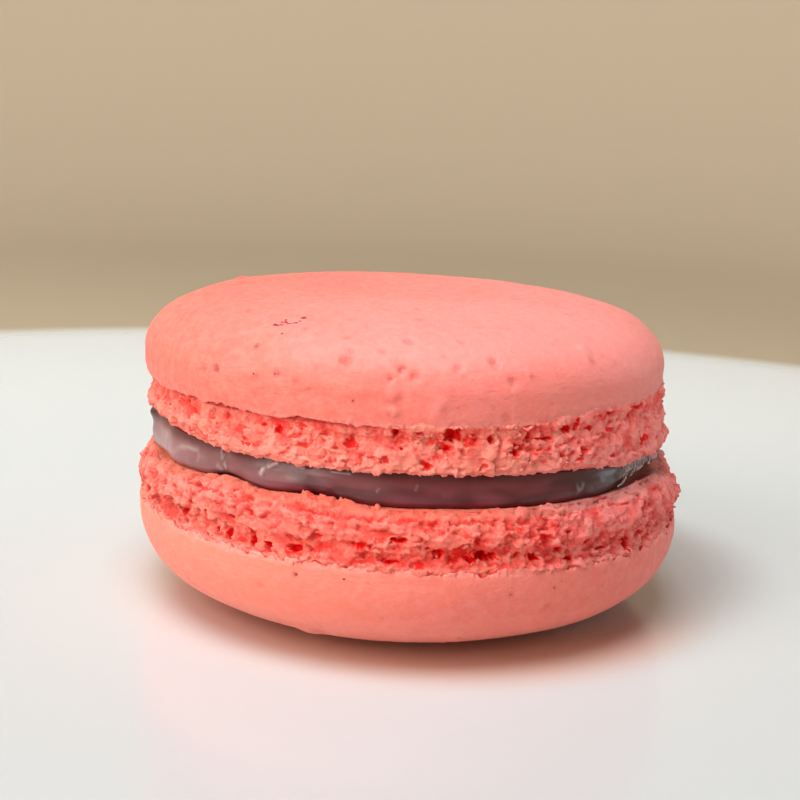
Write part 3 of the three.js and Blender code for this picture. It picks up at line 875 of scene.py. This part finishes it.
# the berry gel between the shells
gel = dict(
    centreX=0.0, radius=20.85, flatCentreX=-0.4, flatRadius=19.7, seatGap=0.05, rimGap=0.1, lowGap=-0.12,
    bulge=0.4, columns=1080, rows=44, seed=3,
    # azimuth, width, out, up
    lobes=[(190, 11, 0.7, 0.5), (211, 8, 0.55, 0), (228, 3, -0.2, 0), (238, 7, 0.4, 0), (256, 9, 0.15, 0),
           (338, 13, -1.2, 0), (292, 14, 0.1, 0)],
    waves=[(4, 0, 1.2, 0.06), (9, 0, 3.3, 0.05), (15, 0, 0.7, 0.03)],
    # share of the way down, inset
    side=[(0, 0.9), (0.12, 0.7), (0.33, 0.35), (0.66, 0), (0.85, 0.1), (0.95, 0.4), (1, 0.75)],
    # painted light, lighter on the gel's left: azimuth, width, amount
    milky=[(204, 22, 1.0), (233, 10, 0.3), (262, 5, 0.14)],
    # a painted shade patch, then the dents: azimuth, z, width, height, and amount or depth
    dusky=[(190, 14.75, 1.8, 0.7, 1.0)],
    dents=[(190.5, 14.75, 1.5, 0.5, -0.4), (227.7, 14.5, 0.22, 0.7, 0.3), (223, 13.6, 0.5, 0.4, -0.12),
           (247, 13.3, 1.2, 0.5, -0.1), (284, 13.3, 1.5, 0.4, -0.08), (305.5, 13.0, 0.3, 0.5, -0.12),
           (275.8, 13.3, 0.35, 0.2, 0.08), (341, 13.5, 2.4, 0.7, -1.3)],
    # ridges with painted glints and, at the right end, a pale film: azimuth and z at both ends, half width,
    # height, paleness
    ridges=[(211.0, 13.1, 213.6, 13.7, 0.3, 0.05, 0.16), (213.6, 13.7, 216.4, 13.93, 0.26, 0.06, 0.26),
            (216.4, 13.93, 219.6, 13.88, 0.22, 0.07, 0.34), (219.6, 13.88, 220.4, 13.5, 0.2, 0.05, 0.26),
            (220.4, 13.5, 220.2, 13.15, 0.2, 0.04, 0.16), (239.5, 13.62, 239.8, 13.9, 0.18, 0.14, 0.9),
            (240.9, 14.2, 242.6, 14.5, 0.15, 0.12, 0.9), (247, 14.4, 248.4, 14.42, 0.13, 0.06, 0.4),
            (254.3, 14.42, 258, 14.4, 0.08, 0.05, 0.5), (226.5, 13.2, 227.3, 12.95, 0.2, 0.06, 0.4),
            (228.3, 13.5, 228.9, 13.3, 0.16, 0.06, 0.5), (263.6, 13.35, 264.0, 13.6, 0.06, 0.04, 0.25),
            (271.1, 13.6, 271.3, 13.95, 0.07, 0.05, 0.2), (305.9, 12.8, 307.5, 13.4, 0.2, 0.06, 0.16),
            (309, 13.0, 313, 13.3, 0.35, 0.05, 0.08), (329, 13.9, 345, 13.5, 0.5, 0.02, 0.45)],
    sizes={"Wave size": 4.0, "Wave height": 0.1, "Crinkle height": 0.07},
    # the gleam and glint colours are painted light; slate, wine and the contact colour also paint shade
    milk=(0.37, 0.19, 0.2, 1), mauve=(0.175, 0.028, 0.043, 1), wine=(0.085, 0.006, 0.013, 1),
    slate=(0.034, 0.005, 0.009, 1), contactShadow=(0.1, 0.008, 0.016, 1), frost=(0.62, 0.5, 0.52, 1),
)


def segmentDistance(azimuth, z, at, startZ, toAt, endZ):
    # from points on the gel's side to a straight line on it, in mm
    mmPerDegree = math.pi * gel["radius"] / 180
    across, up = azimuthGap(azimuth, at) * mmPerDegree, z - startZ
    alongX, alongZ = (toAt - at) * mmPerDegree, endZ - startZ
    share = np.clip((across * alongX + up * alongZ) / (alongX ** 2 + alongZ ** 2), 0, 1)
    return np.hypot(across - alongX * share, up - alongZ * share)


def makeGel():
    azimuth = columnsOf(gel["columns"])
    topZ = topShell["seatZ"] - gel["seatGap"]
    bottomZ = bottomShell["seatZ"] + gel["seatGap"]
    upperRim = topShell["seatZ"] + swellsAt(topShell["rimSwells"], azimuth)
    lowerRim = bottomShell["seatZ"] + swellsAt(bottomShell["rimSwells"], azimuth)
    out = swellsAt([(at, width, outwards) for at, width, outwards, _ in gel["lobes"]], azimuth)
    up = swellsAt([(at, width, upwards) for at, width, _, upwards in gel["lobes"]], azimuth)
    high = np.minimum(topZ, upperRim - gel["rimGap"]) + up
    low = np.maximum(bottomZ, lowerRim + gel["lowGap"])
    radius = gel["radius"] + out + wavesAt(gel["waves"], azimuth, 0)
    # painted light on the gel's left
    milky = np.clip(swellsAt(gel["milky"], azimuth), 0, 1)
    rings = []

    def addFlat(part, radius, z, drop):
        plain = dict(drop=drop, milky=0.0, frost=0.0, dusky=0.0)
        rings.append(ringOf(gel["flatCentreX"], columnsOf(gel["columns"] // part), radius, z, **plain))

    flats = ((4, gel["flatRadius"] / 2), (2, gel["flatRadius"] - 2), (1, gel["flatRadius"] - 0.8))
    for part, flatRadius in flats:
        addFlat(part, flatRadius, topZ, 0.0)
    for share in np.linspace(0, 1, gel["rows"]):
        inset = gel["bulge"] * np.interp(share, *zip(*gel["side"]))
        z = high + (low - high) * share
        # the ridges carry painted glints and, at the right end, a pale film
        frost, ridge = np.zeros((2, len(azimuth)))
        for *line, width, height, paleness in gel["ridges"]:
            near = np.exp(-(segmentDistance(azimuth, z, *line) / width) ** 2)
            ridge = np.maximum(ridge, height * near)
            frost = np.maximum(frost, paleness * near)
        dent = sum(bumpsAt(gel["dents"], azimuth, z, gel["radius"]))
        # painted shade on a patch at the far left
        dusky = np.max(bumpsAt(gel["dusky"], azimuth, z, gel["radius"]), axis=0)
        rings.append(ringOf(gel["centreX"], azimuth, radius - inset - dent + ridge, z, drop=share,
                            milky=milky * (1 - dusky), frost=frost, dusky=dusky))
    for part, flatRadius in reversed(flats):
        addFlat(part, flatRadius, bottomZ, 1.0)
    return ringMesh("berryGel", (gel["flatCentreX"], 0, topZ), rings, (gel["flatCentreX"], 0, bottomZ))


def newGelTree():
    tree, entry, place = newGeometryTree("berryGel", gel["sizes"])
    drop = attribute(tree, "drop")
    band = ramp(drop, 0.0, 0.2) * ramp(drop, 1.0, 0.85)
    waves = centred(place, entry["Wave size"], 1.0) * entry["Wave height"] * band
    crinkles = facets(warped(place, 0.4, 0.3), 0.4) * entry["Crinkle height"] * attribute(tree, "frost")
    closeGeometryTree(entry, pushOut(entry["Geometry"], waves + crinkles))
    return tree


def makeGelMaterial():
    material, shader, place = newMaterial("berryGel", {
        "Specular IOR Level": 0.4, "Coat Weight": 0.24, "Coat Roughness": 0.12,
        "Subsurface Weight": 0.35, "Subsurface Scale": 0.0012, "Subsurface Radius": (1.0, 0.4, 0.4),
    })
    drop, milky, dusky, frost = (attribute(material.node_tree, label) for label in
                                 ("drop", "milky", "dusky", "frost"))
    patches = ramp(noise(place * (0.5, 0.5, 1.6), 2.2, 1.0), 0.4, 0.6)
    sharp = clamped(milky * -0.9 + 1.0)
    # painted light and shade: the gleam on the left, slate shade towards +X, wine shade under the upper
    # foot, a shade patch, glints and a dark contact shadow along the bottom; the mauve and wine patches are
    # the gel's own tone
    feed(shader["Base Color"], layered(colours(patches, gel["mauve"], gel["wine"]), gel, (
        ("slate", ramp(split(place)[0], 9.0, 15.0) * 0.9),
        ("milk", milky * ramp(noise(place, 1.6), 0.35, 0.65, 0.75, 1.0)),
        ("wine", ramp(drop, 0.34, 0.05, 0.0, 0.85)), ("slate", dusky * 0.95),
        ("frost", frost * ramp(noise(place, 0.5), 0.35, 0.6, 0.65, 1.0)),
        ("contactShadow", ramp(drop, 0.85, 0.95, 0.0, 0.85) * sharp))))
    feed(shader["Roughness"], ramp(noise(place, 1.2, 3.0), 0.3, 0.7, 0.28, 0.42))
    bumpOf(shader, noise(place, 0.7), 0.01)
    return material


gelPiece = makeGel()
applyTree(gelPiece, newGelTree(), gel["sizes"], gel["seed"], makeGelMaterial())
print("gel spread")

# small things: loose crumbs, dark grains in the skin, sticky threads
scatter = dict(
    crumb={"Amount": 0.45, "Edge amount": 3.5, "Crumb size": 0.09},      # pieces on each square mm, radius
    crumbTurn={"Min": (0, 0, 0), "Max": (6.3, 6.3, 6.3), "Seed": 3},
    crumbStretch={"Min": (0.5, 0.5, 0.5), "Max": (1.6, 1.3, 1.2), "Seed": 5},
    grain={"Flatness": 0.5}, seed=21, grainSeed=1, grainColour=(0.36, 0.02, 0.03),
)
threads = dict(
    # azimuth and z at both ends, how far out at both ends, looseness, thickness
    paths=[
        (318.3, 12.6, 322.6, 13.8, 0.3, 0.25, 1.0, 0.05), (318.8, 12.7, 323.4, 13.9, 0.3, 0.25, 1.0, 0.05),
        (320.0, 12.9, 322.2, 13.7, 0.35, 0.3, 0.8, 0.055), (321.4, 13.3, 326.6, 13.9, 0.35, 0.3, 0.5, 0.045),
        (322.6, 13.3, 328.2, 13.8, 0.4, 0.35, 0.5, 0.045), (323.8, 13.6, 324.8, 14.3, 0.35, 0.2, 0.2, 0.065),
        (325.0, 13.6, 325.9, 14.4, 0.4, 0.2, 0.2, 0.07), (326.2, 13.65, 327.2, 14.5, 0.4, 0.2, 0.2, 0.075),
        (327.5, 13.7, 328.4, 14.6, 0.45, 0.2, 0.2, 0.07), (325.4, 13.4, 331.0, 14.6, 0.4, 0.3, 0.3, 0.06),
        (326.8, 13.4, 332.2, 14.7, 0.45, 0.3, 0.3, 0.06), (331.8, 13.6, 333.8, 14.8, 0.5, 0.2, 0.2, 0.1),
    ],
    sizes={"Thickness": 1.0}, radius=20.55, steps=16, sides=8, seed=4, colour=(0.52, 0.41, 0.43),
)


def newCrumbTree():
    tree, entry, _ = newGeometryTree("looseCrumbs", scatter["crumb"])
    share = attribute(tree, "share")
    nearLip = ramp(share, -0.06, -0.01) * ramp(share, 0.12, 0.03)
    amount = entry["Amount"] + nearLip * entry["Edge amount"]
    amount = amount * ramp(share, 1.0, 0.95) * ramp(attribute(tree, "hollow"), 0.1, 0.02)
    spread = {"Mesh": entry["Geometry"], "Density": amount * (1 / mm ** 2), "Seed": entry["Seed"]}
    crumb = {"Radius": entry["Crumb size"] * mm, "Subdivisions": 1}
    turn, stretch = (add(tree, "FunctionNodeRandomValue", scatter[label], data_type="FLOAT_VECTOR")
                     for label in ("crumbTurn", "crumbStretch"))
    closeGeometryTree(entry, add(tree, "GeometryNodeInstanceOnPoints", {
        "Points": add(tree, "GeometryNodeDistributePointsOnFaces", spread),
        "Instance": add(tree, "GeometryNodeMeshIcoSphere", crumb), "Rotation": turn, "Scale": stretch}))
    return tree


def newGrainTree():
    # one flat grain on each point, with its own size and its normal kept on the point
    tree, entry, _ = newGeometryTree("darkGrains", scatter["grain"])
    size = attribute(tree, "size")
    normal = add(tree, "GeometryNodeInputNamedAttribute", {"Name": "up"}, data_type="FLOAT_VECTOR")
    stretch = {"X": size * 1.15, "Y": size * 0.85, "Z": size * entry["Flatness"]}
    closeGeometryTree(entry, add(tree, "GeometryNodeInstanceOnPoints", {
        "Points": add(tree, "GeometryNodeMeshToPoints", {"Mesh": entry["Geometry"]}),
        "Instance": add(tree, "GeometryNodeMeshIcoSphere", {"Radius": mm, "Subdivisions": 2}),
        "Rotation": add(tree, "FunctionNodeAlignRotationToVector", {"Vector": normal}, axis="Z"),
        "Scale": add(tree, "ShaderNodeCombineXYZ", stretch)}))
    return tree


def newThreadTree():
    tree, entry, _ = newGeometryTree("stickyThreads", threads["sizes"])
    wide = attribute(tree, "thick") * entry["Thickness"]
    line = add(tree, "GeometryNodeMeshToCurve", {"Mesh": entry["Geometry"]})
    circle = {"Resolution": threads["sides"], "Radius": mm}
    tube = add(tree, "GeometryNodeCurveToMesh", {
        "Curve": add(tree, "GeometryNodeSetCurveRadius", {"Curve": line, "Radius": wide}),
        "Profile Curve": add(tree, "GeometryNodeCurvePrimitiveCircle", circle),
        "Fill Caps": True, "Scale": wide})
    closeGeometryTree(entry, add(tree, "GeometryNodeSetShadeSmooth", {"Geometry": tube}))
    return tree


def makeGrains(name, plan, skinPiece, grains):
    points, ups, sizes = [], [], []
    for azimuth, radius, z, size in grains:
        angle = math.radians(azimuth)
        spot = Vector((plan["centreX"] + radius * math.cos(angle), radius * math.sin(angle), z)) * mm
        _, onSkin, normal, _ = skinPiece.closest_point_on_mesh(spot)
        points.append(onSkin - normal * 0.1 * size * mm)
        ups += list(normal)
        sizes.append(size)
    mesh = bpy.data.meshes.new(name)
    mesh.from_pydata(points, [], [])
    mesh.attributes.new("size", "FLOAT", "POINT").data.foreach_set("value", sizes)
    mesh.attributes.new("up", "FLOAT_VECTOR", "POINT").data.foreach_set("vector", ups)
    return newPiece(name, mesh)


def makePaths():
    # thin wandering lines over the gel, one for each thread, with a thickness for every point
    chance = np.random.default_rng(threads["seed"])
    points, edges, thick = [], [], []
    for fromAt, fromZ, toAt, toZ, fromOut, toOut, loose, width in threads["paths"]:
        wander = chance.uniform(-1, 1, (3, 5))
        first = len(points)
        for step in range(threads["steps"]):
            share = step / (threads["steps"] - 1)
            slack = math.sin(math.pi * share)
            sway = [float(np.interp(share * 4, range(5), knots)) for knots in wander]
            at = math.radians(fromAt + (toAt - fromAt) * share + 0.9 * loose * sway[0])
            out = threads["radius"] + fromOut + (toOut - fromOut) * share + 0.08 * sway[1]
            z = fromZ + (toZ - fromZ) * share + 0.16 * loose * (sway[2] - slack)
            points.append(Vector((out * math.cos(at), out * math.sin(at), z)) * mm)
            thick.append(width * (1 - 0.4 * slack) * (1 + 0.2 * sway[1]))
        edges += [(first + i, first + i + 1) for i in range(threads["steps"] - 1)]
    mesh = bpy.data.meshes.new("stickyThreads")
    mesh.from_pydata(points, edges, [])
    mesh.attributes.new("thick", "FLOAT", "POINT").data.foreach_set("value", thick)
    return newPiece("stickyThreads", mesh)


def makeGrainMaterial():
    material, shader, place = newMaterial("darkGrain", {"Roughness": 0.55, "Specular IOR Level": 0.3})
    feed(shader["Base Color"], ramp(noise(place, 0.08), 0.3, 0.7, 0.7, 1.3) * scatter["grainColour"])
    return material


def makeThreadMaterial():
    material, shader, place = newMaterial("stickyThread", {
        "Roughness": 0.3, "Specular IOR Level": 0.5, "Coat Weight": 0.4, "Coat Roughness": 0.1,
        "Subsurface Weight": 0.7, "Subsurface Scale": 0.0004, "Subsurface Radius": (1.0, 0.8, 0.8),
    })
    feed(shader["Base Color"], ramp(noise(place, 0.3), 0.35, 0.65, 0.45, 1.15) * threads["colour"])
    bumpOf(shader, noise(place, 0.15), 0.02)
    return material


crumbTree = newCrumbTree()
grainTree = newGrainTree()
grainMaterial = makeGrainMaterial()
for name, plan, skin, grains in (("topGrains", topShell, "topSkin", topSkin["grains"]),
                                 ("bottomGrains", bottomShell, "bottomSkin", bottomSkin["grains"])):
    shellPieces[name] = makeGrains(name, plan, shellPieces[skin], grains)
    applyTree(shellPieces[name], grainTree, scatter["grain"], scatter["grainSeed"], grainMaterial)
for name, foot in (("topCrumbs", "topFoot"), ("bottomCrumbs", "bottomFoot")):
    shellPieces[name] = newPiece(name, shellPieces[foot].data.copy())
    finish = crumbMaterials[name.removesuffix("Crumbs")]
    applyTree(shellPieces[name], crumbTree, scatter["crumb"], scatter["seed"], finish)
threadPiece = makePaths()
applyTree(threadPiece, newThreadTree(), threads["sizes"], threads["seed"], makeThreadMaterial())
print("small things scattered")

for name, node in (("topSkin", "top_shell"), ("topFoot", "top_shell"), ("bottomSkin", "bottom_shell"),
                   ("bottomFoot", "bottom_shell")):
    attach(shellPieces[name], "root")
    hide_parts(node)
for name in ("topGrains", "bottomGrains", "topCrumbs", "bottomCrumbs"):
    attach(shellPieces[name], "root")
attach(threadPiece, "root")
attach(gelPiece, "root")
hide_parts("filling")

# floor, light and camera, in metres
studio = dict(
    # painted light and shadow on the floor round the biscuit: a warm glow, a reddish contact shadow and a
    # shadow to the right; in mm: middle x and y, full radius, end radius, colour
    paintedGlowAndShadow=[
        (0, 0, 20.0, 27.0, (0.66, 0.6, 0.565, 1)), (3.5, 0, 18.5, 24.5, (0.66, 0.44, 0.36, 1)),
        (12, 8, 15.0, 23.5, (0.49, 0.47, 0.465, 1)),
    ],
    # the floor goes from nearColour at the front to the lighter farColour at the back: painted light
    nearColour=(0.54, 0.538, 0.53, 1), farColour=(0.92, 0.95, 0.95, 1), floorRoughness=0.18,
    lowWallColour=(0.52, 0.395, 0.265, 1), wallColour=(0.88, 0.72, 0.54, 1),
    # where each fade starts and ends, in mm
    paleEdge=(132, 148), floorFade=(-70, 130), wallFade=(150, 600),
    flatRadius=0.3, wallRadius=0.55, wallHeight=0.5, corners=96,
    skyColour=(0.95, 0.97, 1.0, 1), skyStrength=0.02,
    lights=[
        # name, azimuth, elevation, distance, size, power, colour
        ("key", 220, 32, 0.42, 0.3, 1.08, (1.0, 0.95, 0.88)),
        ("overhead", 238, 73, 0.42, 0.3, 2.02, (0.81, 0.93, 1.0)),
        ("window", 20, 8, 0.42, 0.3, 0.42, (0.72, 0.86, 1.0)),
        ("bounce", 222, 4, 0.3, 0.15, 0.12, (1.0, 0.93, 0.85)),
    ],
)
cameraPlan = dict(
    placeMm=(-1.0, -110.0, 38.088), pitch=11.48, roll=2.6, focalPixels=1319.69, imagePixels=800, sensor=36,
)


def makeFloor():
    # a flat disc that curves up into a low wall all round
    profile = [(studio["flatRadius"] * share, 0) for share in (0.05, 0.2, 0.5, 1)]
    reach = studio["wallRadius"] - studio["flatRadius"]
    for degrees in range(10, 91, 10):
        angle = math.radians(degrees)
        profile.append((studio["flatRadius"] + reach * math.sin(angle), reach * (1 - math.cos(angle))))
    profile.append((studio["wallRadius"], studio["wallHeight"]))
    count = studio["corners"]
    points = [(0, 0, 0)]
    for radius, z in profile:
        for i in range(count):
            angle = 2 * math.pi * i / count
            points.append((radius * math.cos(angle), radius * math.sin(angle), z))
    faces = [(0, 1 + i, 1 + (i + 1) % count) for i in range(count)]
    for row in range(len(profile) - 1):
        faces += ringFaces((1 + row * count, count), (1 + (row + 1) * count, count))
    mesh = bpy.data.meshes.new("floor")
    mesh.from_pydata(points, [], faces)
    mesh.shade_smooth()
    mesh.materials.append(makeFloorMaterial())
    newPiece("floor", mesh)


def makeFloorMaterial():
    material, shader, place = newMaterial("paleFloor", {})
    away = lengthOf(place)
    edge = ramp(away, *studio["paleEdge"])
    # painted light: the floor is lighter towards the back
    deep = ramp(split(place)[1], *studio["floorFade"])
    floorColour = colours(deep, studio["nearColour"], studio["farColour"])
    # painted glow and shadows round the biscuit
    for middleX, middleY, fullRadius, endRadius, tint in studio["paintedGlowAndShadow"]:
        reach = lengthOf(place - (middleX, middleY, 0))
        floorColour = colours(ramp(reach, endRadius, fullRadius), floorColour, tint)
    # painted shade: the tan surround is darker near the floor and lighter up the wall
    wallColour = colours(ramp(away, *studio["wallFade"]), studio["lowWallColour"], studio["wallColour"])
    feed(shader["Base Color"], colours(edge, floorColour, wallColour))
    feed(shader["Roughness"], ramp(edge, 0.0, 1.0, studio["floorRoughness"], 0.95))
    feed(shader["Specular IOR Level"], ramp(edge, 0.0, 1.0, 0.8, 0.0))
    return material


def makeLight(name, azimuth, elevation, distance, size, power, colour):
    light = bpy.data.lights.new(name, "AREA")
    light.shape = "DISK"
    light.size = size
    light.energy = power
    light.color = colour
    around, up = math.radians(azimuth), math.radians(elevation)
    way = Vector((math.cos(around) * math.cos(up), math.sin(around) * math.cos(up), math.sin(up)))
    holder = newPiece(name, light)
    holder.location = way * distance
    holder.rotation_euler = (-way).to_track_quat("-Z", "Y").to_euler()


def makeCamera():
    camera = bpy.data.cameras.new("camera")
    camera.sensor_width = cameraPlan["sensor"]
    camera.lens = cameraPlan["focalPixels"] * cameraPlan["sensor"] / cameraPlan["imagePixels"]
    camera.clip_start = 0.005
    camera.clip_end = 20
    holder = newPiece("camera", camera)
    tilt = Matrix.Rotation(math.radians(90 - cameraPlan["pitch"]), 4, "X")
    roll = Matrix.Rotation(math.radians(cameraPlan["roll"]), 4, "Z")
    holder.matrix_world = Matrix.Translation(Vector(cameraPlan["placeMm"]) * mm) @ tilt @ roll
    bpy.context.scene.camera = holder


def makeSky():
    world = bpy.data.worlds.new("sky")
    world.use_nodes = True
    background = world.node_tree.nodes["Background"]
    background.inputs["Color"].default_value = studio["skyColour"]
    background.inputs["Strength"].default_value = studio["skyStrength"]
    bpy.context.scene.world = world


makeFloor()
makeSky()
for light in studio["lights"]:
    makeLight(*light)
makeCamera()
bpy.context.scene.view_settings.view_transform = "Standard"
print("studio ready")
